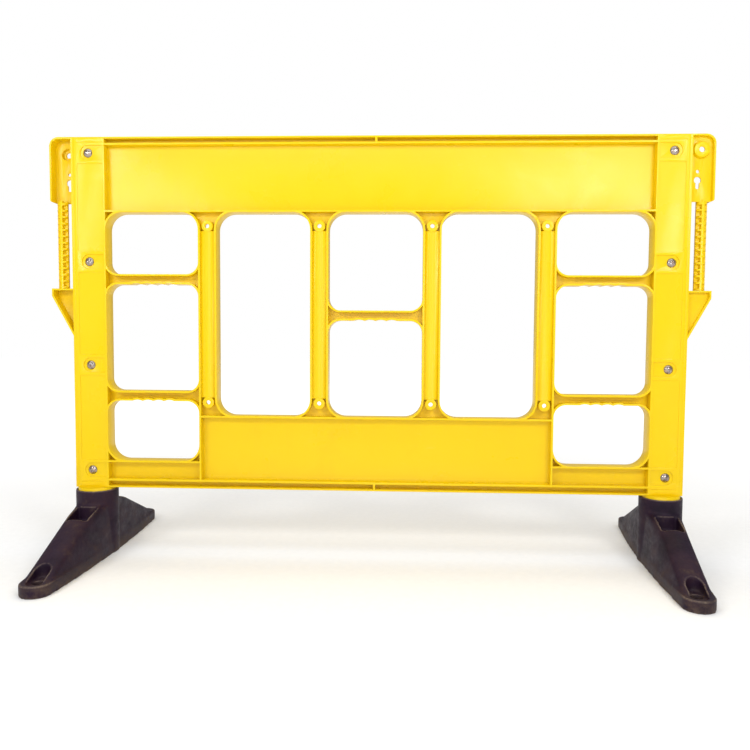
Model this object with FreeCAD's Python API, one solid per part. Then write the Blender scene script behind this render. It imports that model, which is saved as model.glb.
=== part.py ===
import FreeCAD, Part
import math
import os

from FreeCAD import Vector

# Plastic pedestrian barrier on two swivelling rubber feet, in millimetres.
# X runs along the barrier, Y through it (the face looks along -Y) and +Z is up.
# The origin lies on the floor, under the middle of the panel.

# Overall sizes
TOTAL_HEIGHT = 1000.0
POST_SPAN = 1438.0            # over the outer faces of the two end posts
PANEL_DEPTH = 40.0
PANEL_LIFT = 163.0            # floor to the bottom edge of the panel
PANEL_HEIGHT = TOTAL_HEIGHT - PANEL_LIFT

# Walls of the moulded panel
WEB = 5.0                     # the skin between the rims
FIELD_RECESS = 22.0           # from the front plane to the skin
RIM = 4.5                     # every rim that stands out from the skin, to the front and the back
POST_WIDTH = 74.0
POST_WALL = 6.0
POST_TOP_WALL = 5.0

# Flanges and grooves along the top and bottom of the panel
TOP_GROOVE = 10.0
TOP_FLANGE = 4.0
SECOND_FLANGE = 4.5
BOTTOM_FLANGE = 4.0
BOTTOM_GROOVE = 12.0
INNER_FLANGE = 5.0
GROOVE_RIB = 5.4

# Windows and the bars and handles between them, heights above the panel's edge
WINDOW_DROP = 175.5           # top of the panel to the top of every window
SILL_TALL = 177.0             # sill of the tall and the middle windows
SILL_SIDE = 66.0              # sill of the side windows
SIDE_HANDLE_HIGH = 491.0      # underside of each handle
SIDE_HANDLE_LOW = 211.5
MIDDLE_HANDLE = 407.0
HANDLE = 24.0
BAR_WIDTH = 43.0
OUTER_BAR_X = 400.5
INNER_BAR_X = 133.0
CORNER_RADIUS = 41.0
HANDLE_RADIUS = 29.0

# Finger notches under each handle
NOTCH_COUNT = 4
NOTCH_PITCH = 26.0
NOTCH_RADIUS = 30.0
NOTCH_DEPTH = 2.5

# Raised skin along each bar, and the fixing bosses at its two ends
BAR_SETBACK = 8.0             # edge of the raised skin behind the front plane
BAR_CROWN = 3.0               # rise of its middle
BOSS_RADIUS = 13.5
BOSS_HOLE = 5.0
BOSS_SETBACK = 4.0
BOSS_PLATE = 6.0              # thickness of its front
BOSS_HOLLOW = 9.5             # radius of the hollow behind that front
BOSS_DROP = 32.5              # below the top of the windows
BOSS_RISE = 32.0              # above the sill of the tall windows
BOSS_LAP = 2.0                # how far the raised skin runs behind each boss

# Screws through each post, and the pads and pockets around them
SCREW_LOW = 42.0
SCREW_MIDDLE = (297.0, 544.0)
SCREW_DROP = 37.0             # top screw, down from the top of the post
SCREW_X = 34.0                # from the outer face of the post
SCREW_RADIUS = 5.0
SCREW_HEAD_RADIUS = 11.0
SCREW_HEAD_HEIGHT = 6.0
CROSS_LENGTH = 10.0
CROSS_WIDTH = 2.2
CROSS_DEPTH = 3.0
NUT_RADIUS = 9.8              # over the corners of an M10 nut
NUT_HEIGHT = 8.0
WASHER_RADIUS = 12.0
WASHER_HEIGHT = 2.0
THREAD_STANDOUT = 3.0
HOLE_CLEARANCE = 0.4
POCKET_RADIUS = 17.5
POCKET_DEPTH = 2.5
PAD_HALF = 25.0
FIELD_DEPTH = 1.2
FIELD_OUTER_MARGIN = 8.0
FIELD_INNER_MARGIN = 5.0
LINE_WIDTH = 1.6
LINE_DEPTH = 0.8
LINE_INSET = 13.0

# End upright: a core inside the post, a strip outside it, a lug, a rod and a gusset
STRIP = 6.5
CORE_CLEARANCE = 0.5
CORE_SPINE = 5.0
CORE_RIB = 4.0
CORE_RIB_PITCH = 62.0
CORE_BOSS_RADIUS = 14.0
LUG_REACH = 58.0              # from the outer face of the post
LUG_HEIGHT = 152.0
LUG_CORNER = 22.0
LUG_FOOT_CORNER = 5.0
PLATE = 4.0
PLATE_SETBACK = 10.0          # the plate behind the front plane of the right upright
SOCKET_X = 27.0               # from the outer face of the post
SOCKET_DROP = 35.0            # this and the holes below it, down from the top of the lug
SOCKET_BASE_RADIUS = 20.0
SOCKET_TOP_RADIUS = 17.0
SOCKET_BORE = 13.5
SOCKET_HOLE = 6.5
SOCKET_STANDOUT = 9.0
PIN_HOLE_X = 22.0
PIN_HOLE_DROP = 83.0
PIN_HOLE = 4.0
KEYHOLE_DROP = 103.0
KEYHOLE_RADIUS = 8.0
KEYHOLE_SLOT = 4.2
KEYHOLE_LENGTH = 16.0
ROD_X = 36.5
ROD_RADIUS = 12.5
ROD_RIB = 6.5
ROD_DISC = 4.6
ROD_PITCH = 15.2
ROD_LENGTH = 205.0
GUSSET_SIDE = 18.0
GUSSET_HEIGHT = 119.0

# Spigot under the post and the pivot that holds the foot on it
SPIGOT_RADIUS = 43.5          # its side lines up with the outer face of the strip
SPIGOT_WALL = 5.0
SPIGOT_CAP = 8.0
SPIGOT_TUBE = 15.0
SPIGOT_RIB = 4.0
SWIVEL_CLEARANCE = 1.0        # all round the spigot
FACE_CLEARANCE = 0.5          # between faces that turn on each other
PIVOT_RADIUS = 6.0
PIVOT_HEAD_RADIUS = 11.0
PIVOT_HEAD_HEIGHT = 8.0
PIVOT_ENGAGEMENT = 30.0
INSERT_RADIUS = 9.0
SLEEVE_RADIUS = 10.0
RETAINER_RADIUS = 31.0
RETAINER_HEIGHT = 4.0
LOCK_WASHER_RADIUS = 11.0
LOCK_WASHER_HEIGHT = 2.5

# Rubber foot
FOOT_HALF_LENGTH = 324.0
FOOT_SKIRT = 26.0             # upright edge all round the foot
FOOT_WAIST = 3.5              # the skirt's sides start this far inside the collar's radius
TOE_HALF = 33.0               # half width of the skirt where its rounded end starts
TOE_ROUND = 31.0              # how far that end stands past its corners
TOE_LEDGE = 18.0              # from the skirt's end to the foot of the ridge
SIDE_LEDGE = 1.0
FOOT_GAP = 5.0                # between the collar and the post
COLLAR_WALL = 4.5
COLLAR_HEIGHT = 33.0
RIDGE_HALF = 28.0             # half width of the top of each toe
RIDGE_FOOT_HALF = 30.0
CROWN_DROP = 14.0             # from the foot of the collar to the bend along the top of each toe
CROWN_REACH = 115.0
CROWN_ROUND = 20.0
CROWN_WAIST = 9.0
SHOULDER_WAIST = 4.0
FOOT_FLOOR = 12.0             # rubber under the spigot
FOOT_RECESS = 33.0            # depth of the recess for the pivot's head
RECESS_RADIUS = 36.0
SCOOP_INNER = 7.0             # scoop in the top of the toe, outward from the collar
SCOOP_REACH = 68.0
SCOOP_HALF = 24.0
SCOOP_CORNER = 8.0
SCOOP_DROP = 35.0             # floor of the scoop below the foot of the collar
TOE_HOLE_INSET = 42.5         # from the tip of the toe
TOE_HOLE_HALF = 16.5
TOE_HOLE_LENGTH = 31.5
TOE_STEP = 20.0
PEG_HOLE = 12.0
RIGHT_FOOT_TURN = -5.5        # degrees that the right foot stands off square

# Places that follow from the sizes above
FRONT = -PANEL_DEPTH / 2.0
BACK = PANEL_DEPTH / 2.0
SKIN = FRONT + FIELD_RECESS
POST_OUT = POST_SPAN / 2.0
POST_IN = POST_OUT - POST_WIDTH
CUT = 5.0                     # how far a cutting shape runs past a face
WINDOW_TOP = PANEL_HEIGHT - WINDOW_DROP
BARS = (-OUTER_BAR_X, -INNER_BAR_X, INNER_BAR_X, OUTER_BAR_X)
BOSS_HIGH = WINDOW_TOP - BOSS_DROP
BOSS_LOW = SILL_TALL + BOSS_RISE
SKIN_LOW = BOSS_LOW + BOSS_RADIUS - BOSS_LAP
SKIN_HIGH = BOSS_HIGH - BOSS_RADIUS + BOSS_LAP
SCREW_HEIGHTS = (SCREW_LOW,) + SCREW_MIDDLE + (PANEL_HEIGHT - SCREW_DROP,)
SCREW_LINE = POST_OUT - SCREW_X
LUG_BOTTOM = PANEL_HEIGHT - LUG_HEIGHT
GUSSET_TOP = LUG_BOTTOM - ROD_LENGTH
GUSSET_BOTTOM = GUSSET_TOP - GUSSET_HEIGHT
PLATE_FACE = FRONT + PLATE_SETBACK
SPIGOT_BOTTOM = FOOT_RECESS + FOOT_FLOOR + FACE_CLEARANCE
FOOT_X = POST_OUT + STRIP - SPIGOT_RADIUS
BORE_RADIUS = SPIGOT_RADIUS + SWIVEL_CLEARANCE
COLLAR_RADIUS = BORE_RADIUS + COLLAR_WALL
COLLAR_TOP = PANEL_LIFT - FOOT_GAP
FOOT_SHOULDER = COLLAR_TOP - COLLAR_HEIGHT


def box(x0, x1, y0, y1, z0, z1):
    """Box between two limits on each axis."""
    return Part.makeBox(x1 - x0, y1 - y0, z1 - z0, Vector(x0, y0, z0))


def along_y(x, z, radius, y0, y1):
    """Round bar through the panel's depth."""
    return Part.makeCylinder(radius, y1 - y0, Vector(x, y0, z), Vector(0, 1, 0))


def upright_bar(x, y, radius, z0, z1):
    """Round bar standing up."""
    return Part.makeCylinder(radius, z1 - z0, Vector(x, y, z0), Vector(0, 0, 1))


def through(edges, y0, y1):
    """Solid from a closed outline in the panel's plane, between two depths."""
    face = Part.Face(Part.Wire(Part.__sortEdges__(edges)))
    face.translate(Vector(0, y0, 0))
    return face.extrude(Vector(0, y1 - y0, 0))


def outline(points):
    """Straight edges that close a list of (x, z) points."""
    vertices = [Vector(x, 0, z) for x, z in points]
    return Part.makePolygon(vertices + [vertices[0]]).Edges


def rounded(x0, x1, z0, z1, radii, y0, y1):
    """Block with its corners rounded in the panel's plane.

    radii holds the top left, top right, bottom right and bottom left corners.
    """
    corners = ((x0, z1, 1, -1), (x1, z1, -1, -1), (x1, z0, -1, 1), (x0, z0, 1, 1))
    edges = []
    ends = []
    for index, ((x, z, sx, sz), radius) in enumerate(zip(corners, radii)):
        beside = Vector(x + sx * radius, 0, z)
        below = Vector(x, 0, z + sz * radius)
        near = radius * (1.0 - math.sqrt(0.5))
        middle = Vector(x + sx * near, 0, z + sz * near)
        first, last = (below, beside) if index % 2 == 0 else (beside, below)
        edges.append(Part.Arc(first, middle, last).toShape())
        ends.append((first, last))
    for index in range(4):
        edges.append(Part.LineSegment(ends[index - 1][1], ends[index][0]).toShape())
    return through(edges, y0, y1)


def join(shapes):
    """One solid from touching shapes, with its needless seams removed."""
    return shapes[0].multiFuse(shapes[1:]).removeSplitter()


def lifted(shape):
    """A shape drawn above the panel's edge, raised to its place over the floor."""
    moved = shape.copy()
    moved.translate(Vector(0, 0, PANEL_LIFT))
    return moved


def turned(shape):
    """The same piece at the other end of the barrier, turned half round."""
    moved = shape.copy()
    moved.rotate(Vector(0, 0, 0), Vector(0, 0, 1), 180)
    return moved


def mirrored(shape):
    """The piece at the other end of the barrier that faces the same way."""
    return shape.mirror(Vector(0, 0, 0), Vector(1, 0, 0))


def window_list():
    """Every window as its limits and corner radii, from left to right."""
    big = CORNER_RADIUS
    small = HANDLE_RADIUS
    half = BAR_WIDTH / 2.0
    side = (OUTER_BAR_X + half, POST_IN)
    tall = (INNER_BAR_X + half, OUTER_BAR_X - half)
    middle = INNER_BAR_X - half
    rows = [
        (SIDE_HANDLE_HIGH + HANDLE, WINDOW_TOP, (big, big, small, small)),
        (SIDE_HANDLE_LOW + HANDLE, SIDE_HANDLE_HIGH, (small,) * 4),
        (SILL_SIDE, SIDE_HANDLE_LOW, (small, small, big, big)),
    ]
    windows = []
    for z0, z1, radii in rows:
        windows.append((-side[1], -side[0], z0, z1, radii))
        windows.append((side[0], side[1], z0, z1, radii))
    windows.append((-tall[1], -tall[0], SILL_TALL, WINDOW_TOP, (big,) * 4))
    windows.append((tall[0], tall[1], SILL_TALL, WINDOW_TOP, (big,) * 4))
    windows.append((-middle, middle, MIDDLE_HANDLE + HANDLE, WINDOW_TOP, (big, big, small, small)))
    windows.append((-middle, middle, SILL_TALL, MIDDLE_HANDLE, (small, small, big, big)))
    return windows


def handle_list():
    """The middle of each handle and the height of its underside."""
    side = (OUTER_BAR_X + BAR_WIDTH / 2.0 + POST_IN) / 2.0
    places = [(0.0, MIDDLE_HANDLE)]
    for height in (SIDE_HANDLE_LOW, SIDE_HANDLE_HIGH):
        places.append((-side, height))
        places.append((side, height))
    return places


def notches(radius):
    """Round bars under the handles: the finger notches, or the rims over them."""
    bars = []
    for middle, height in handle_list():
        for index in range(NOTCH_COUNT):
            x = middle + (index - (NOTCH_COUNT - 1) / 2.0) * NOTCH_PITCH
            z = height + NOTCH_DEPTH - NOTCH_RADIUS
            bars.append(along_y(x, z, radius, FRONT, BACK))
    return bars


def notch_rims():
    """Rims that follow the finger notches, kept above each handle's underside."""
    span = NOTCH_COUNT * NOTCH_PITCH
    zones = [box(x - span, x + span, FRONT, BACK, z, z + HANDLE) for x, z in handle_list()]
    zones = [zone for zone in zones for _ in range(NOTCH_COUNT)]
    return [bar.common(zone) for bar, zone in zip(notches(NOTCH_RADIUS + RIM), zones)]


def flanges():
    """The long rims of the panel, as boxes between the posts."""
    top = PANEL_HEIGHT
    second = top - TOP_FLANGE - TOP_GROOVE
    inner = BOTTOM_FLANGE + BOTTOM_GROOVE
    field = OUTER_BAR_X + BAR_WIDTH / 2.0
    levels = (
        (top - TOP_FLANGE, top),
        (second - SECOND_FLANGE, second),
        (WINDOW_TOP, WINDOW_TOP + RIM),
        (inner, inner + INNER_FLANGE),
        (0.0, BOTTOM_FLANGE),
    )
    shapes = [box(-POST_IN, POST_IN, FRONT, BACK, z0, z1) for z0, z1 in levels]
    shapes.append(box(-field, field, FRONT, BACK, SILL_TALL - RIM, SILL_TALL))
    sill = box(field, POST_IN, FRONT, BACK, SILL_SIDE - RIM, SILL_SIDE)
    shapes += [sill, mirrored(sill)]
    half = GROOVE_RIB / 2.0
    shapes.append(box(-half, half, FRONT, BACK, second, top))
    shapes.append(box(-half, half, FRONT, BACK, 0.0, inner))
    return shapes


def bar_rims():
    """Upright rims along both sides of each bar, between the rounded corners of the windows."""
    half = BAR_WIDTH / 2.0
    low = SILL_TALL + CORNER_RADIUS
    high = WINDOW_TOP - CORNER_RADIUS
    levels = (
        (OUTER_BAR_X - half, low),
        (OUTER_BAR_X + half - RIM, BOTTOM_FLANGE + BOTTOM_GROOVE),
        (INNER_BAR_X - half, low),
        (INNER_BAR_X + half - RIM, low),
    )
    rims = [box(x, x + RIM, FRONT, BACK, foot, high) for x, foot in levels]
    return rims + [mirrored(rim) for rim in rims]


def bar_space(centre):
    """The space behind a raised bar skin, open at the back of the panel."""
    half = BAR_WIDTH / 2.0 - RIM
    return box(centre - half, centre + half, SKIN, BACK + CUT, SKIN_LOW + RIM, SKIN_HIGH - RIM)


def bar_skin(centre):
    """Raised skin of a bar, crowned across its width, with a wall at each end."""
    half = BAR_WIDTH / 2.0 - RIM
    front = FRONT + BAR_SETBACK

    def skin_outline(back):
        left = Vector(centre - half, front + back, SKIN_LOW)
        right = Vector(centre + half, front + back, SKIN_LOW)
        return left, Vector(centre, front - BAR_CROWN + back, SKIN_LOW), right

    left, top, right = skin_outline(0.0)
    left_back, top_back, right_back = skin_outline(WEB)
    edges = [
        Part.Arc(left, top, right).toShape(),
        Part.LineSegment(right, right_back).toShape(),
        Part.Arc(right_back, top_back, left_back).toShape(),
        Part.LineSegment(left_back, left).toShape(),
    ]
    face = Part.Face(Part.Wire(Part.__sortEdges__(edges)))
    skin = face.extrude(Vector(0, 0, SKIN_HIGH - SKIN_LOW))
    walls = [
        box(centre - half, centre + half, front, BACK, SKIN_LOW, SKIN_LOW + RIM),
        box(centre - half, centre + half, front, BACK, SKIN_HIGH - RIM, SKIN_HIGH),
    ]
    return [skin] + walls


def bar_bosses():
    """Places of the fixing bosses, two on each bar."""
    return [(x, z) for x in BARS for z in (BOSS_LOW, BOSS_HIGH)]


def post_cuts():
    """Everything cut from the right post: its hollow, pads, pockets and screw holes."""
    inner = BACK - POST_WALL
    top = PANEL_HEIGHT - POST_TOP_WALL
    cuts = [box(POST_IN + POST_WALL, POST_OUT + CUT, -inner, inner, -CUT, top)]
    field_in = POST_IN + FIELD_INNER_MARGIN
    field_out = POST_OUT - FIELD_OUTER_MARGIN
    for face, sign in ((FRONT, 1), (BACK, -1)):
        def sunk(x0, x1, z0, z1, depth):
            y0, y1 = sorted((face - sign * CUT, face + sign * depth))
            return box(x0, x1, y0, y1, z0, z1)
        for low, high in zip(SCREW_HEIGHTS, SCREW_HEIGHTS[1:]):
            cuts.append(sunk(field_in, field_out, low + PAD_HALF, high - PAD_HALF, FIELD_DEPTH))
        for line in (LINE_INSET, PANEL_HEIGHT - LINE_INSET):
            cuts.append(sunk(field_in, field_out, line, line + LINE_WIDTH, LINE_DEPTH))
        for height in SCREW_HEIGHTS:
            low = height - POCKET_RADIUS
            high = height + POCKET_RADIUS
            cuts.append(sunk(field_in, SCREW_LINE, low, high, POCKET_DEPTH))
            y0, y1 = sorted((face - sign * CUT, face + sign * POCKET_DEPTH))
            cuts.append(along_y(SCREW_LINE, height, POCKET_RADIUS, y0, y1))
    for height in SCREW_HEIGHTS:
        cuts.append(along_y(SCREW_LINE, height, SCREW_RADIUS + HOLE_CLEARANCE, FRONT - CUT, BACK + CUT))
    return cuts


def make_panel():
    """The one-piece moulded panel with its windows, bars, handles and hollow posts."""
    shapes = [box(-POST_IN, POST_IN, SKIN, SKIN + WEB, 0, PANEL_HEIGHT)]
    shapes += flanges() + bar_rims() + notch_rims()
    for x0, x1, z0, z1, radii in window_list():
        wider = tuple(radius + RIM for radius in radii)
        shapes.append(rounded(x0 - RIM, x1 + RIM, z0 - RIM, z1 + RIM, wider, FRONT, BACK))
    posts = box(POST_IN, POST_OUT, FRONT, BACK, 0, PANEL_HEIGHT)
    shapes += [posts, mirrored(posts)]
    body = shapes[0].multiFuse(shapes[1:])
    cuts = [rounded(*window[:4], window[4], FRONT - CUT, BACK + CUT) for window in window_list()]
    cuts += notches(NOTCH_RADIUS)
    cuts += post_cuts() + [mirrored(cut) for cut in post_cuts()]
    cuts += [bar_space(centre) for centre in BARS]
    body = body.cut(cuts)
    added = [skin for centre in BARS for skin in bar_skin(centre)]
    boss_front = FRONT + BOSS_SETBACK
    added += [along_y(x, z, BOSS_RADIUS, boss_front, SKIN + WEB) for x, z in bar_bosses()]
    body = body.multiFuse(added)
    holes = [along_y(x, z, BOSS_HOLE, FRONT - CUT, BACK + CUT) for x, z in bar_bosses()]
    holes += [along_y(x, z, BOSS_HOLLOW, boss_front + BOSS_PLATE, BACK + CUT) for x, z in bar_bosses()]
    body = body.cut(holes)
    return body.removeSplitter()


def lug():
    """Plate, rim, socket, pin hole and keyhole of the right upright."""
    top = PANEL_HEIGHT
    x0 = POST_OUT
    x1 = POST_OUT + LUG_REACH
    radii = (1.0, LUG_CORNER, LUG_FOOT_CORNER, 1.0)
    inner = (1.0, LUG_CORNER - PLATE, 1.0, 1.0)
    block = rounded(x0, x1, LUG_BOTTOM, top, radii, FRONT, BACK)
    hollow = rounded(x0 - CUT, x1 - PLATE, LUG_BOTTOM - CUT, top - PLATE, inner, FRONT - CUT, BACK + CUT)
    plate = rounded(x0, x1, LUG_BOTTOM, top, radii, PLATE_FACE, PLATE_FACE + PLATE)
    socket_x = POST_OUT + SOCKET_X
    socket_z = top - SOCKET_DROP
    cone = Part.makeCone(SOCKET_BASE_RADIUS, SOCKET_TOP_RADIUS, SOCKET_STANDOUT,
                         Vector(socket_x, PLATE_FACE, socket_z), Vector(0, -1, 0))
    shape = join([block.cut(hollow), plate, cone])
    socket_floor = PLATE_FACE - SOCKET_STANDOUT + PLATE
    pin_x = POST_OUT + PIN_HOLE_X
    key_z = top - KEYHOLE_DROP
    slot_z = key_z - KEYHOLE_LENGTH
    ends = (FRONT - CUT, BACK + CUT)
    return shape.cut([
        along_y(socket_x, socket_z, SOCKET_BORE, socket_floor, BACK + CUT),
        along_y(socket_x, socket_z, SOCKET_HOLE, *ends),
        along_y(pin_x, top - PIN_HOLE_DROP, PIN_HOLE, *ends),
        along_y(pin_x, key_z, KEYHOLE_RADIUS, *ends),
        along_y(pin_x, slot_z, KEYHOLE_SLOT, *ends),
        box(pin_x - KEYHOLE_SLOT, pin_x + KEYHOLE_SLOT, *ends, slot_z, key_z),
    ])


def rod():
    """Ribbed rod between the lug and the gusset: a cross with discs on it."""
    x = POST_OUT + ROD_X
    half = ROD_RIB / 2.0
    low = GUSSET_TOP - PLATE
    high = LUG_BOTTOM + PLATE
    core = upright_bar(x, 0, ROD_RADIUS, low, high)
    arms = [
        box(x - ROD_RADIUS, x + ROD_RADIUS, -half, half, low, high),
        box(x - half, x + half, -ROD_RADIUS, ROD_RADIUS, low, high),
    ]
    shapes = [arm.common(core) for arm in arms]
    length = LUG_BOTTOM - GUSSET_TOP
    gaps = int(length // ROD_PITCH)
    first = GUSSET_TOP + (length - gaps * ROD_PITCH) / 2.0
    for index in range(gaps + 1):
        z = first + index * ROD_PITCH - ROD_DISC / 2.0
        shapes.append(upright_bar(x, 0, ROD_RADIUS, z, z + ROD_DISC))
    shapes.append(upright_bar(x, 0, ROD_RADIUS, LUG_BOTTOM - PLATE, LUG_BOTTOM))
    return shapes


def gusset():
    """Triangular bracket under the rod: a top flange, a plate and a sloping rim."""
    x0 = POST_OUT + STRIP / 2.0
    x1 = POST_OUT + LUG_REACH
    corner = GUSSET_TOP - GUSSET_SIDE
    points = [(x0, GUSSET_TOP), (x1, GUSSET_TOP), (x1, corner), (x0, GUSSET_BOTTOM)]
    inner = GUSSET_TOP - PLATE
    slope = (corner - GUSSET_BOTTOM) / (x1 - x0)
    drop = PLATE * math.hypot(1.0, slope)
    inside = [
        (x0 - CUT, inner),
        (x1 - PLATE, inner),
        (x1 - PLATE, corner - PLATE * slope + drop),
        (x0 - CUT, GUSSET_BOTTOM - CUT * slope + drop),
    ]
    block = through(outline(points), FRONT, BACK)
    hollow = through(outline(inside), FRONT - CUT, BACK + CUT)
    plate = through(outline(points), PLATE_FACE, PLATE_FACE + PLATE)
    return [block.cut(hollow), plate]


def core():
    """Ribbed core that fills the hollow post, with a boss for each screw."""
    inner = BACK - POST_WALL
    depth = inner - CORE_CLEARANCE
    x0 = POST_IN + POST_WALL + CORE_CLEARANCE
    x1 = POST_OUT
    top = PANEL_HEIGHT - POST_TOP_WALL - CORE_CLEARANCE
    half = CORE_SPINE / 2.0
    shapes = [
        box(x0, x1, -half, half, 0, top),
        box(x0, x0 + CORE_RIB, -depth, depth, 0, top),
        box(POST_OUT, POST_OUT + STRIP, FRONT, BACK, 0, PANEL_HEIGHT),
    ]
    count = int(top // CORE_RIB_PITCH)
    pitch = (top - CORE_RIB) / count
    for index in range(count + 1):
        z = index * pitch
        shapes.append(box(x0, x1, -depth, depth, z, z + CORE_RIB))
    for height in SCREW_HEIGHTS:
        shapes.append(along_y(SCREW_LINE, height, CORE_BOSS_RADIUS, -inner, inner))
    return shapes


def spigot():
    """Round spigot under the post: a cap, a wall, a middle tube and four ribs."""
    bottom = SPIGOT_BOTTOM - PANEL_LIFT
    inner = SPIGOT_RADIUS - SPIGOT_WALL
    outer_wall = upright_bar(FOOT_X, 0, SPIGOT_RADIUS, bottom, 0)
    space = upright_bar(FOOT_X, 0, inner, bottom - CUT, -SPIGOT_CAP)
    half = SPIGOT_RIB / 2.0
    reach = SPIGOT_RADIUS - SPIGOT_WALL / 2.0
    return [
        outer_wall.cut(space),
        upright_bar(FOOT_X, 0, SPIGOT_TUBE, bottom, 0),
        box(FOOT_X - reach, FOOT_X + reach, -half, half, bottom, 0),
        box(FOOT_X - half, FOOT_X + half, -reach, reach, bottom, 0),
    ]


def insert_space():
    """The brass insert's seat and the bolt's way above it, in the middle tube."""
    bottom = SPIGOT_BOTTOM - PANEL_LIFT
    top = bottom + PIVOT_ENGAGEMENT
    return [
        upright_bar(FOOT_X, 0, INSERT_RADIUS, bottom - CUT, top),
        upright_bar(FOOT_X, 0, PIVOT_RADIUS + HOLE_CLEARANCE, top - CUT, top + 2 * CUT),
    ]


def make_upright():
    """The right upright in one moulding."""
    shapes = core() + spigot() + rod() + gusset() + [lug()]
    body = shapes[0].multiFuse(shapes[1:])
    holes = [along_y(SCREW_LINE, z, SCREW_RADIUS + HOLE_CLEARANCE, FRONT, BACK) for z in SCREW_HEIGHTS]
    return lifted(body.cut(holes + insert_space()).removeSplitter())


def screw_sets():
    """Screws, washers and nuts through the right post, one solid for each."""
    x = SCREW_LINE
    seat = FRONT + POCKET_DEPTH
    back = BACK - POCKET_DEPTH
    sphere_radius = (SCREW_HEAD_RADIUS ** 2 + SCREW_HEAD_HEIGHT ** 2) / (2.0 * SCREW_HEAD_HEIGHT)
    screws = []
    washers = []
    nuts = []
    for height in SCREW_HEIGHTS:
        z = height + PANEL_LIFT
        dome = Part.makeSphere(sphere_radius, Vector(x, seat - SCREW_HEAD_HEIGHT + sphere_radius, z))
        dome = dome.common(along_y(x, z, SCREW_HEAD_RADIUS + CUT, seat - SCREW_HEAD_HEIGHT - CUT, seat))
        tip = back + WASHER_HEIGHT + NUT_HEIGHT + THREAD_STANDOUT
        shank = along_y(x, z, SCREW_RADIUS, seat - CROSS_DEPTH / 2.0, tip)
        long_half = CROSS_LENGTH / 2.0
        thin_half = CROSS_WIDTH / 2.0
        y0 = seat - SCREW_HEAD_HEIGHT - CUT
        y1 = seat - SCREW_HEAD_HEIGHT + CROSS_DEPTH
        cross = [
            box(x - long_half, x + long_half, y0, y1, z - thin_half, z + thin_half),
            box(x - thin_half, x + thin_half, y0, y1, z - long_half, z + long_half),
        ]
        screws.append(join([dome, shank]).cut(cross))
        ring = along_y(x, z, WASHER_RADIUS, back, back + WASHER_HEIGHT)
        washers.append(ring.cut(along_y(x, z, SCREW_RADIUS, back - CUT, back + CUT)))
        face = back + WASHER_HEIGHT
        corners = [(x + NUT_RADIUS * math.cos(math.radians(60 * k)),
                    z + NUT_RADIUS * math.sin(math.radians(60 * k))) for k in range(6)]
        nut = through(outline(corners), face, face + NUT_HEIGHT)
        nuts.append(nut.cut(along_y(x, z, SCREW_RADIUS, face - CUT, face + NUT_HEIGHT + CUT)))
    return {"post_screws": screws, "post_washers": washers, "post_nuts": nuts}


def pivot_set():
    """Bolt, washers, sleeve and insert that hold the right foot on its spigot."""
    washer_top = FOOT_RECESS - FACE_CLEARANCE
    washer_bottom = washer_top - RETAINER_HEIGHT
    lock_bottom = washer_bottom - LOCK_WASHER_HEIGHT
    head_bottom = lock_bottom - PIVOT_HEAD_HEIGHT
    tip = SPIGOT_BOTTOM + PIVOT_ENGAGEMENT + CUT

    def ring(outer, z0, z1):
        hole = upright_bar(FOOT_X, 0, PIVOT_RADIUS, z0 - CUT, z1 + CUT)
        return upright_bar(FOOT_X, 0, outer, z0, z1).cut(hole)

    corners = [Vector(FOOT_X + PIVOT_HEAD_RADIUS * math.cos(math.radians(60 * k)),
                      PIVOT_HEAD_RADIUS * math.sin(math.radians(60 * k)), head_bottom) for k in range(6)]
    head = Part.Face(Part.makePolygon(corners + [corners[0]])).extrude(Vector(0, 0, PIVOT_HEAD_HEIGHT))
    shank = upright_bar(FOOT_X, 0, PIVOT_RADIUS, lock_bottom - CUT / 2.0, tip)
    return {
        "pivot_bolt": [join([head, shank])],
        "pivot_lock_washer": [ring(LOCK_WASHER_RADIUS, lock_bottom, washer_bottom)],
        "pivot_washer": [ring(RETAINER_RADIUS, washer_bottom, washer_top)],
        "pivot_sleeve": [ring(SLEEVE_RADIUS, washer_top, SPIGOT_BOTTOM)],
        "pivot_insert": [ring(INSERT_RADIUS, SPIGOT_BOTTOM, SPIGOT_BOTTOM + PIVOT_ENGAGEMENT)],
    }


def foot_section(z, half_width, corner_half, corner_reach, reach):
    """Level outline of the foot: two bowed sides and a rounded end on each toe."""
    edges = []
    for side in (-1, 1):
        front = Vector(side * corner_half, -corner_reach, z)
        middle = Vector(side * half_width, 0, z)
        rear = Vector(side * corner_half, corner_reach, z)
        edges.append(Part.Arc(front, middle, rear).toShape())
    for end in (-1, 1):
        left = Vector(-corner_half, end * corner_reach, z)
        tip = Vector(0, end * reach, z)
        right = Vector(corner_half, end * corner_reach, z)
        edges.append(Part.Arc(left, tip, right).toShape())
    return Part.Wire(Part.__sortEdges__(edges))


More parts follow.
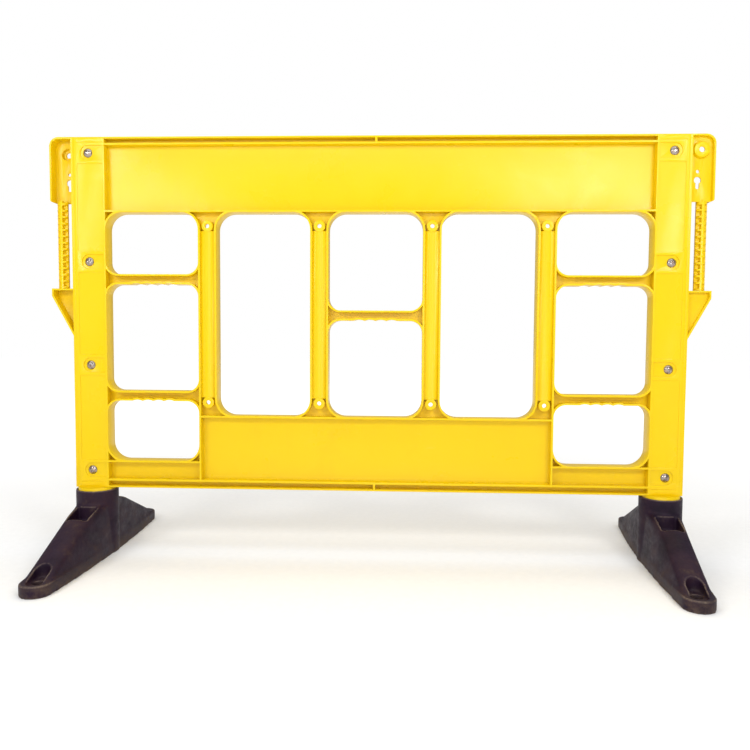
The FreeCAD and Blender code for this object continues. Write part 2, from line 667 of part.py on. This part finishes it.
def foot_body():
    """Outer shape of the foot: a skirt, a crowned ridge along both toes and the collar."""
    reach = FOOT_HALF_LENGTH
    half = COLLAR_RADIUS - FOOT_WAIST
    skirt = foot_section(0.0, half, TOE_HALF, reach - TOE_ROUND, reach)
    ridge_reach = reach - TOE_LEDGE
    ridge_corner = reach - TOE_ROUND - TOE_LEDGE + SIDE_LEDGE
    low = foot_section(FOOT_SKIRT, half - SIDE_LEDGE, RIDGE_FOOT_HALF, ridge_corner, ridge_reach)
    bend_corner = CROWN_REACH - CROWN_ROUND
    bend_half = COLLAR_RADIUS - CROWN_WAIST
    bend = foot_section(FOOT_SHOULDER - CROWN_DROP, bend_half, RIDGE_HALF, bend_corner, CROWN_REACH)
    top = COLLAR_RADIUS - SHOULDER_WAIST
    top_corner = math.sqrt(top ** 2 - RIDGE_HALF ** 2)
    shoulder = foot_section(FOOT_SHOULDER, top, RIDGE_HALF, top_corner, top)
    parts = [
        Part.Face(skirt).extrude(Vector(0, 0, FOOT_SKIRT)),
        Part.makeLoft([low, bend], True, True),
        Part.makeLoft([bend, shoulder], True, True),
        upright_bar(0, 0, COLLAR_RADIUS, 0, COLLAR_TOP),
    ]
    return parts[0].multiFuse(parts[1:])


def scoop():
    """Recess in the top of the front toe, from beside the collar to a straight lip."""
    floor = FOOT_SHOULDER - SCOOP_DROP
    lip = -COLLAR_RADIUS - SCOOP_REACH
    turn = lip + SCOOP_CORNER
    inside = SCOOP_HALF - SCOOP_CORNER
    blocks = [
        box(-SCOOP_HALF, SCOOP_HALF, turn, 0, floor, COLLAR_TOP),
        box(-inside, inside, lip, 0, floor, COLLAR_TOP),
        upright_bar(-inside, turn, SCOOP_CORNER, floor, COLLAR_TOP),
        upright_bar(inside, turn, SCOOP_CORNER, floor, COLLAR_TOP),
    ]
    return join(blocks).cut(upright_bar(0, 0, COLLAR_RADIUS + SCOOP_INNER, 0, COLLAR_TOP + CUT))


def toe_hole():
    """Shapes that cut the oval pocket and its peg hole near the end of the front toe."""
    y = TOE_HOLE_INSET - FOOT_HALF_LENGTH
    slide = TOE_HOLE_LENGTH - TOE_HOLE_HALF
    pocket = [
        box(-TOE_HOLE_HALF, TOE_HOLE_HALF, y - slide, y + slide, TOE_STEP, COLLAR_TOP),
        upright_bar(0, y - slide, TOE_HOLE_HALF, TOE_STEP, COLLAR_TOP),
        upright_bar(0, y + slide, TOE_HOLE_HALF, TOE_STEP, COLLAR_TOP),
    ]
    return pocket + [upright_bar(0, y, PEG_HOLE, -CUT, COLLAR_TOP)]


def make_foot():
    """The rubber foot, its toes along Y, standing under the right post."""
    floor_top = FOOT_RECESS + FOOT_FLOOR
    front = [scoop()] + toe_hole()
    rear = [turned(cut) for cut in front]
    body = foot_body().cut(front + rear + [
        upright_bar(0, 0, BORE_RADIUS, floor_top, COLLAR_TOP + CUT),
        upright_bar(0, 0, RECESS_RADIUS, -CUT, FOOT_RECESS),
        upright_bar(0, 0, SLEEVE_RADIUS + SWIVEL_CLEARANCE, -CUT, floor_top + CUT),
    ])
    body = body.removeSplitter()
    body.translate(Vector(FOOT_X, 0, 0))
    return body


def save(name, shapes):
    """Write one node as a STEP file."""
    shape = shapes[0] if len(shapes) == 1 else Part.makeCompound(shapes)
    shape.exportStep("parts/%s.step" % name)


def main():
    """Build every node of the barrier."""
    os.makedirs("parts", exist_ok=True)
    save("panel", [lifted(make_panel())])
    upright = make_upright()
    save("right_upright", [upright])
    save("left_upright", [turned(upright)])
    foot = make_foot()
    save("left_foot", [turned(foot)])
    foot.rotate(Vector(FOOT_X, 0, 0), Vector(0, 0, 1), RIGHT_FOOT_TURN)
    save("right_foot", [foot])
    hardware = dict(screw_sets())
    hardware.update(pivot_set())
    for name, shapes in hardware.items():
        save("right_" + name, shapes)
        save("left_" + name, [mirrored(shape) for shape in shapes])


main()
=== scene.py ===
import math

import bmesh
import bpy
import numpy as np
from mathutils import Matrix, Vector


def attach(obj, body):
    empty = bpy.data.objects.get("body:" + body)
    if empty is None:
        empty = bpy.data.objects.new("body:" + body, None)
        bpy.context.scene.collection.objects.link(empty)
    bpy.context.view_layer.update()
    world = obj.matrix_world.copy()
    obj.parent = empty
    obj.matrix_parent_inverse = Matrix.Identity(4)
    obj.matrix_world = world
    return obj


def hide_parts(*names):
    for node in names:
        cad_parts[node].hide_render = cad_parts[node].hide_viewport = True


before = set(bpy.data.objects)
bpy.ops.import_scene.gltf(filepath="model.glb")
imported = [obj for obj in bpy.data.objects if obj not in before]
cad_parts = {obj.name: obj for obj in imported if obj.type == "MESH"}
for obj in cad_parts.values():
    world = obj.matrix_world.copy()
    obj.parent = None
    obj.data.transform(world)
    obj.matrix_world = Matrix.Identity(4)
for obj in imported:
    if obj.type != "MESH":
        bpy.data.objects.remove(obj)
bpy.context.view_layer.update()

SIDES = ("left", "right")
HARDWARE = ("post_washers", "post_nuts", "pivot_lock_washer", "pivot_washer", "pivot_sleeve")
WELD_DISTANCE = 2e-6                # corners nearer than this are one corner
CUT_TOLERANCE = 1e-6                # corners this near a cut lie on it
FLAT_ANGLE = math.radians(1.0)      # faces closer than this lie in one plane
EDGE_ANGLE = math.radians(28.0)     # edges sharper than this get a moulded radius
EDGE_SEGMENTS = 2
MOULD_RADIUS = 0.0009               # edge radius of the yellow mouldings
STEEL_RADIUS = 0.0003               # edge radius of screws, washers, nuts and pivot pieces
# upright cuts through every window, screw and socket, so that no flat encloses a hole
CUTS = (0.0, 0.133, 0.267, 0.4005, 0.533, 0.685, 0.741, 0.746)
RUBBER_VOXEL = 0.0025               # cell size of the remeshed feet
RUBBER_SMOOTHING = 7                # relaxing passes over those cells

# linear colours
PANEL_YELLOW = (0.780, 0.532, 0.0010)
UPRIGHT_YELLOW = (0.770, 0.523, 0.0010)
FLOW_MARK = (0.74, 0.44, 0.004)
PALE_SCUFF = (0.86, 0.72, 0.18)
# painted shade: darker orange laid over the yellow towards the bottom, where less light falls
LOW_PAINTED_SHADE = (0.58, 0.34, 0.006)
DEEP_RUBBER = (0.0085, 0.0038, 0.0110)
PLUM_RUBBER = (0.0185, 0.0076, 0.0195)
PALE_RUBBER = (0.0310, 0.0132, 0.0205)
RUBBER_DUST = (0.075, 0.050, 0.036)
GROUND_DUST = (0.105, 0.070, 0.048)
# painted highlight: pale colour laid along the feet's convex edges where light catches them
EDGE_HIGHLIGHT_RUBBER = (0.20, 0.150, 0.115)
SCREW_ZINC = (0.44, 0.40, 0.38)
HARDWARE_ZINC = (0.66, 0.66, 0.66)
BROWN_STAIN = (0.42, 0.25, 0.15)
DULL_BRASS = (0.55, 0.38, 0.13)
BRIGHT_BRASS = (0.80, 0.62, 0.28)
PAPER = (0.91, 0.91, 0.905)
PAPER_TOOTH = (0.94, 0.94, 0.935)
WHITE = (1.0, 1.0, 1.0)

PLASTIC_IOR = 1.49
RUBBER_IOR = 1.5


# ---------------------------------------------------------------- node helpers
class Shader:
    """A material's node tree, with short calls for the nodes that the finishes use."""

    def __init__(self, name):
        self.material = bpy.data.materials.new(name)
        self.material.use_nodes = True
        self.nodes = self.material.node_tree.nodes
        self.links = self.material.node_tree.links
        self.surface = self.nodes["Principled BSDF"]
        self.place = self.nodes.new("ShaderNodeTexCoord").outputs["Object"]

    def join(self, source, target):
        """Link an output to an input."""
        self.links.new(source, target)

    def noise(self, scale, detail=4.0, roughness=0.55, stretch=(1.0, 1.0, 1.0)):
        """Fractal noise in object space, its cells stretched along the axes."""
        mapping = self.nodes.new("ShaderNodeMapping")
        mapping.inputs["Scale"].default_value = stretch
        self.join(self.place, mapping.inputs["Vector"])
        node = self.nodes.new("ShaderNodeTexNoise")
        node.inputs["Scale"].default_value = scale
        node.inputs["Detail"].default_value = detail
        node.inputs["Roughness"].default_value = roughness
        self.join(mapping.outputs["Vector"], node.inputs["Vector"])
        return node.outputs["Fac"]

    def spread(self, value, low, high, to_low=0.0, to_high=1.0):
        """Map a value's range from low..high to to_low..to_high, clamped."""
        node = self.nodes.new("ShaderNodeMapRange")
        limits = {"From Min": low, "From Max": high, "To Min": to_low, "To Max": to_high}
        for name, number in limits.items():
            node.inputs[name].default_value = number
        self.join(value, node.inputs["Value"])
        return node.outputs["Result"]

    def ramp(self, value, stops):
        """Colours along a value: stops are (position, (r, g, b)) in rising order."""
        node = self.nodes.new("ShaderNodeValToRGB")
        ramp = node.color_ramp
        while len(ramp.elements) < len(stops):
            ramp.elements.new(0.5)
        for element, (position, colour) in zip(ramp.elements, stops):
            element.position = position
            element.color = (*colour, 1.0)
        self.join(value, node.inputs["Fac"])
        return node.outputs["Color"]

    def tint(self, share, under, over):
        """A colour output with an (r, g, b) laid over it by a share."""
        node = self.nodes.new("ShaderNodeMix")
        node.data_type = "RGBA"
        # this node holds its sockets for every data type, so its colour ones go by number
        self.join(share, node.inputs[0])
        self.join(under, node.inputs[6])
        node.inputs[7].default_value = (*over, 1.0)
        return node.outputs[2]

    def times(self, first, second):
        """Product of two outputs."""
        node = self.nodes.new("ShaderNodeMath")
        node.operation = "MULTIPLY"
        self.join(first, node.inputs[0])
        self.join(second, node.inputs[1])
        return node.outputs[0]

    def bumps(self, *layers):
        """Stack bump layers, each (height output, depth in metres), on the surface."""
        normal = None
        for height, depth in layers:
            node = self.nodes.new("ShaderNodeBump")
            node.inputs["Strength"].default_value = 1.0
            node.inputs["Distance"].default_value = depth
            self.join(height, node.inputs["Height"])
            if normal is not None:
                self.join(normal, node.inputs["Normal"])
            normal = node.outputs["Normal"]
        self.join(normal, self.surface.inputs["Normal"])

    def height(self):
        """Height above the floor in metres."""
        node = self.nodes.new("ShaderNodeSeparateXYZ")
        self.join(self.place, node.inputs[0])
        return node.outputs["Z"]

    def distance(self):
        """Distance from the origin in metres."""
        node = self.nodes.new("ShaderNodeVectorMath")
        node.operation = "LENGTH"
        self.join(self.place, node.inputs[0])
        return node.outputs["Value"]

    def convex_highlight(self, sharpness_low, sharpness_high):
        """Share of painted highlight that rises on convex edges and falls to nothing elsewhere."""
        geometry = self.nodes.new("ShaderNodeNewGeometry")
        return self.spread(geometry.outputs["Pointiness"], sharpness_low, sharpness_high)


# ---------------------------------------------------------------- finishes
def yellow_plastic(name, tone):
    """Semi-gloss moulded polypropylene with flow marks, grain, light scuffs and painted shade low
    down.
    """
    shader = Shader(name)
    clouds = shader.noise(2.3, 3.0)
    colour = shader.ramp(clouds, (
        (0.30, tuple(channel * 0.96 for channel in tone)),
        (0.70, tone),
    ))
    streaks = shader.noise(26.0, 5.0, 0.6, (1.0, 1.0, 0.16))
    colour = shader.tint(shader.spread(streaks, 0.56, 0.80, 0.0, 0.16), colour, FLOW_MARK)
    scuffs = shader.noise(95.0, 6.0, 0.68, (0.35, 1.0, 1.0))
    scuff_share = shader.times(
        shader.spread(scuffs, 0.60, 0.72, 0.0, 0.16),
        shader.spread(clouds, 0.45, 0.7))
    colour = shader.tint(scuff_share, colour, PALE_SCUFF)
    # painted shade: blotchy darker orange that grows towards the bottom, standing in for the lower
    # parts getting less light
    low_shade_share = shader.times(
        shader.spread(shader.noise(7.0, 7.0, 0.66), 0.50, 0.72, 0.0, 0.20),
        shader.spread(shader.height(), 0.16, 0.55, 1.0, 0.25))
    colour = shader.tint(low_shade_share, colour, LOW_PAINTED_SHADE)
    shader.join(colour, shader.surface.inputs["Base Color"])
    grain = shader.noise(420.0, 2.0)
    rough = shader.spread(shader.noise(9.0, 4.0), 0.3, 0.7, 0.25, 0.35)
    shader.join(rough, shader.surface.inputs["Roughness"])
    shader.surface.inputs["IOR"].default_value = PLASTIC_IOR
    shader.surface.inputs["Specular IOR Level"].default_value = 0.25
    shader.bumps((shader.noise(14.0, 3.0), 0.0009), (grain, 0.00006), (scuffs, 0.00005))
    return shader.material


def black_rubber():
    """Moulded recycled rubber: near black and plum, brown dust low down, painted highlights on
    convex edges.
    """
    shader = Shader("foot_rubber")
    blotches = shader.noise(16.0, 6.0, 0.62)
    colour = shader.ramp(blotches, (
        (0.30, DEEP_RUBBER),
        (0.52, PLUM_RUBBER),
        (0.74, PALE_RUBBER),
    ))
    dust = shader.noise(48.0, 8.0, 0.7, (1.0, 0.5, 1.0))
    dust_share = shader.times(
        shader.spread(dust, 0.52, 0.70, 0.0, 0.60),
        shader.spread(blotches, 0.44, 0.66))
    colour = shader.tint(dust_share, colour, RUBBER_DUST)
    ground_share = shader.times(
        shader.spread(dust, 0.38, 0.62),
        shader.spread(shader.height(), 0.002, 0.034, 0.75, 0.0))
    colour = shader.tint(ground_share, colour, GROUND_DUST)
    # painted highlight: pale colour on convex edges, found by pointiness and broken up by the dust
    # noise
    edge_highlight_share = shader.times(
        shader.convex_highlight(0.515, 0.565),
        shader.spread(dust, 0.34, 0.60, 0.25, 1.0))
    colour = shader.tint(edge_highlight_share, colour, EDGE_HIGHLIGHT_RUBBER)
    shader.join(colour, shader.surface.inputs["Base Color"])
    shader.join(shader.spread(dust, 0.35, 0.70, 0.40, 0.68), shader.surface.inputs["Roughness"])
    shader.surface.inputs["IOR"].default_value = RUBBER_IOR
    shader.surface.inputs["Specular IOR Level"].default_value = 0.15
    shader.bumps((shader.noise(40.0, 5.0), 0.0010), (shader.noise(700.0, 3.0), 0.00012))
    return shader.material


def zinc_plate(name, tone):
    """Zinc-plated steel: a fine crystal flake with brown stains."""
    shader = Shader(name)
    patches = shader.noise(240.0, 5.0)
    colour = shader.ramp(patches, (
        (0.32, tuple(channel * 0.62 for channel in tone)),
        (0.68, tone),
    ))
    stains = shader.noise(130.0, 3.0)
    colour = shader.tint(shader.spread(stains, 0.44, 0.64, 0.0, 0.55), colour, BROWN_STAIN)
    shader.join(colour, shader.surface.inputs["Base Color"])
    shader.surface.inputs["Metallic"].default_value = 1.0
    shader.join(shader.spread(patches, 0.3, 0.7, 0.20, 0.34), shader.surface.inputs["Roughness"])
    shader.bumps((shader.noise(900.0, 2.0), 0.00004))
    return shader.material


def machined_brass():
    """Brass with fine turning marks round it and a dull patina."""
    shader = Shader("insert_brass")
    turning = shader.noise(300.0, 4.0, 0.6, (0.2, 0.2, 6.0))
    colour = shader.ramp(turning, ((0.3, DULL_BRASS), (0.7, BRIGHT_BRASS)))
    shader.join(colour, shader.surface.inputs["Base Color"])
    shader.surface.inputs["Metallic"].default_value = 1.0
    shader.join(shader.spread(turning, 0.3, 0.7, 0.25, 0.42), shader.surface.inputs["Roughness"])
    shader.bumps((turning, 0.00008))
    return shader.material


def pale_floor():
    """Seamless pale studio paper with a barely visible tooth, and a painted glow of its own that
    rises further out.
    """
    shader = Shader("studio_paper")
    tooth = shader.noise(60.0, 4.0)
    colour = shader.ramp(tooth, ((0.3, PAPER), (0.7, PAPER_TOOTH)))
    shader.join(colour, shader.surface.inputs["Base Color"])
    shader.surface.inputs["Roughness"].default_value = 0.9
    # painted glow: the paper emits white light itself, none near the object and full further out
    shader.surface.inputs["Emission Color"].default_value = (*WHITE, 1.0)
    glow = shader.spread(shader.distance(), *GLOW_REACH, 0.0, GLOW)
    shader.join(glow, shader.surface.inputs["Emission Strength"])
    shader.bumps((tooth, 0.0002))
    return shader.material


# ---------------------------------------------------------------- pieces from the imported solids
def merged_copy(node, name):
    """A new mesh with a node's faces joined at their shared corners and its flats made whole."""
    work = bmesh.new()
    work.from_mesh(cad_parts[node].data)
    bmesh.ops.remove_doubles(work, verts=work.verts, dist=WELD_DISTANCE)
    for x in sorted({side * cut for side in (-1, 1) for cut in CUTS}):
        everything = work.verts[:] + work.edges[:] + work.faces[:]
        halves = bmesh.ops.bisect_plane(
            work, geom=everything, dist=CUT_TOLERANCE, plane_co=(x, 0, 0), plane_no=(1, 0, 0))
        for element in halves["geom_cut"]:
            if isinstance(element, bmesh.types.BMEdge):
                element.seam = True
    bmesh.ops.dissolve_limit(
        work, angle_limit=FLAT_ANGLE, verts=work.verts, edges=work.edges,
        use_dissolve_boundaries=False, delimit={"SEAM"})
    mesh = bpy.data.meshes.new(name)
    work.to_mesh(mesh)
    work.free()
    mesh.polygons.foreach_set("use_smooth", np.ones(len(mesh.polygons), bool))
    piece = bpy.data.objects.new(name, mesh)
    bpy.context.scene.collection.objects.link(piece)
    return piece


def finish_piece(piece, node, body, material):
    """Give a piece its finish and put it in its node's place on a body."""
    piece.data.materials.clear()
    piece.data.materials.append(material)
    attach(piece, body)
    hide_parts(node)


def moulded(node, body, material, radius):
    """The node's own shape with a small radius rolled along every edge."""
    piece = merged_copy(node, node + "_moulding")
    bevel = piece.modifiers.new("edge radius", "BEVEL")
    bevel.width = radius
    bevel.segments = EDGE_SEGMENTS
    bevel.limit_method = "ANGLE"
    bevel.angle_limit = EDGE_ANGLE
    bevel.harden_normals = True
    bevel.use_clamp_overlap = True
    finish_piece(piece, node, body, material)


def rubber_foot(side, material):
    """The foot's solid as soft rubber: remeshed in fine cells and relaxed at every edge."""
    node = side + "_foot"
    piece = merged_copy(node, node + "_rubber")
    remesh = piece.modifiers.new("fine cells", "REMESH")
    remesh.mode = "VOXEL"
    remesh.voxel_size = RUBBER_VOXEL
    relax = piece.modifiers.new("soft edges", "SMOOTH")
    relax.factor = 0.5
    relax.iterations = RUBBER_SMOOTHING
    bpy.context.view_layer.update()
    graph = bpy.context.evaluated_depsgraph_get()
    mesh = bpy.data.meshes.new_from_object(piece.evaluated_get(graph))
    piece.modifiers.clear()
    piece.data = mesh
    mesh.polygons.foreach_set("use_smooth", np.ones(len(mesh.polygons), bool))
    finish_piece(piece, node, node, material)


# ---------------------------------------------------------------- studio
CAMERA_PLACE = Vector((0.0676, -1.6517, 0.5330))
CAMERA_TURN = tuple(math.radians(angle) for angle in (2.35, -3.20, -0.37))  # yaw, pitch, roll
CAMERA_FOCAL = 690.0 / 750.0        # focal length as a share of the picture's width
SENSOR_WIDTH = 36.0
VIEW_REACH = 60.0                   # how far the camera sees
FLOOR_REACH = 14.0                  # half the width of the floor
GLOW = 0.62                         # the paper's own light away from the barrier
GLOW_REACH = (0.9, 3.5)             # distances from which it starts and is full
AMBIENT = 0.42                      # soft light from all round
SOFTBOXES = (                       # name, place, target, size, power
    ("left softbox", (-1.30, -1.72, 1.36), (-0.30, 0.0, 0.80), (0.66, 0.42), 14.0),
    ("right softbox", (1.02, -1.72, 1.38), (0.30, 0.0, 0.80), (0.56, 0.42), 14.0),
    ("front softbox", (0.0, -3.0, 0.80), (0.0, 0.0, 0.70), (2.0, 0.8), 20.0),
    ("top softbox", (0.0, 0.3, 3.4), (0.0, 0.3, 0.0), (4.5, 4.5), 84.0),
)


def camera():
    """Camera at standing distance, a little right of the middle and looking slightly down."""
    yaw, pitch, roll = CAMERA_TURN
    turn = (Matrix.Rotation(yaw, 3, "Z") @ Matrix.Rotation(pitch, 3, "X")
            @ Matrix.Rotation(roll, 3, "Y"))
    lens = bpy.data.cameras.new("camera")
    lens.sensor_width = SENSOR_WIDTH
    lens.lens = SENSOR_WIDTH * CAMERA_FOCAL
    lens.clip_end = VIEW_REACH
    holder = bpy.data.objects.new("camera", lens)
    upright = turn @ Matrix.Rotation(math.radians(90.0), 3, "X")
    holder.matrix_world = Matrix.Translation(CAMERA_PLACE) @ upright.to_4x4()
    bpy.context.scene.collection.objects.link(holder)
    bpy.context.scene.camera = holder


def softbox(name, place, target, size, power):
    """Rectangular soft light aimed at a point."""
    light = bpy.data.lights.new(name, "AREA")
    light.shape = "RECTANGLE"
    light.size, light.size_y = size
    light.energy = power
    holder = bpy.data.objects.new(name, light)
    aim = (Vector(target) - Vector(place)).to_track_quat("-Z", "Y")
    holder.matrix_world = Matrix.Translation(place) @ aim.to_matrix().to_4x4()
    bpy.context.scene.collection.objects.link(holder)


def floor():
    """A wide flat sheet under the object."""
    mesh = bpy.data.meshes.new("floor")
    turns = ((-1, -1), (1, -1), (1, 1), (-1, 1))
    corners = [(FLOOR_REACH * x, FLOOR_REACH * y, 0.0) for x, y in turns]
    mesh.from_pydata(corners, [], [(0, 1, 2, 3)])
    sheet = bpy.data.objects.new("floor", mesh)
    mesh.materials.append(pale_floor())
    bpy.context.scene.collection.objects.link(sheet)


def surroundings():
    """Soft light from all round, in front of a white backdrop."""
    world = bpy.data.worlds.new("studio")
    bpy.context.scene.world = world
    world.use_nodes = True
    nodes = world.node_tree.nodes
    links = world.node_tree.links
    soft = nodes["Background"]
    soft.inputs["Color"].default_value = (*WHITE, 1.0)
    soft.inputs["Strength"].default_value = AMBIENT
    backdrop = nodes.new("ShaderNodeBackground")
    backdrop.inputs["Color"].default_value = (*WHITE, 1.0)
    backdrop.inputs["Strength"].default_value = 1.0
    seen = nodes.new("ShaderNodeLightPath").outputs["Is Camera Ray"]
    blend = nodes.new("ShaderNodeMixShader")
    links.new(seen, blend.inputs[0])
    links.new(soft.outputs[0], blend.inputs[1])
    links.new(backdrop.outputs[0], blend.inputs[2])
    links.new(blend.outputs[0], nodes["World Output"].inputs["Surface"])


def studio():
    """Camera, floor and lights."""
    camera()
    floor()
    surroundings()
    for box in SOFTBOXES:
        softbox(*box)
    settings = bpy.context.scene.view_settings
    settings.view_transform = "Standard"
    settings.look = "None"


# ---------------------------------------------------------------- the object
def main():
    """Dress every node."""
    plastic = yellow_plastic("panel_plastic", PANEL_YELLOW)
    upright_plastic = yellow_plastic("upright_plastic", UPRIGHT_YELLOW)
    rubber = black_rubber()
    screw = zinc_plate("screw_zinc", SCREW_ZINC)
    hardware = zinc_plate("hardware_zinc", HARDWARE_ZINC)
    brass = machined_brass()
    moulded("panel", "barrier", plastic, MOULD_RADIUS)
    for side in SIDES:
        moulded(side + "_upright", "barrier", upright_plastic, MOULD_RADIUS)
        moulded(side + "_post_screws", "barrier", screw, STEEL_RADIUS)
        moulded(side + "_pivot_bolt", "barrier", hardware, STEEL_RADIUS)
        for part in HARDWARE:
            moulded(side + "_" + part, "barrier", hardware, STEEL_RADIUS)
        moulded(side + "_pivot_insert", "barrier", brass, STEEL_RADIUS)
        rubber_foot(side, rubber)


studio()
main()
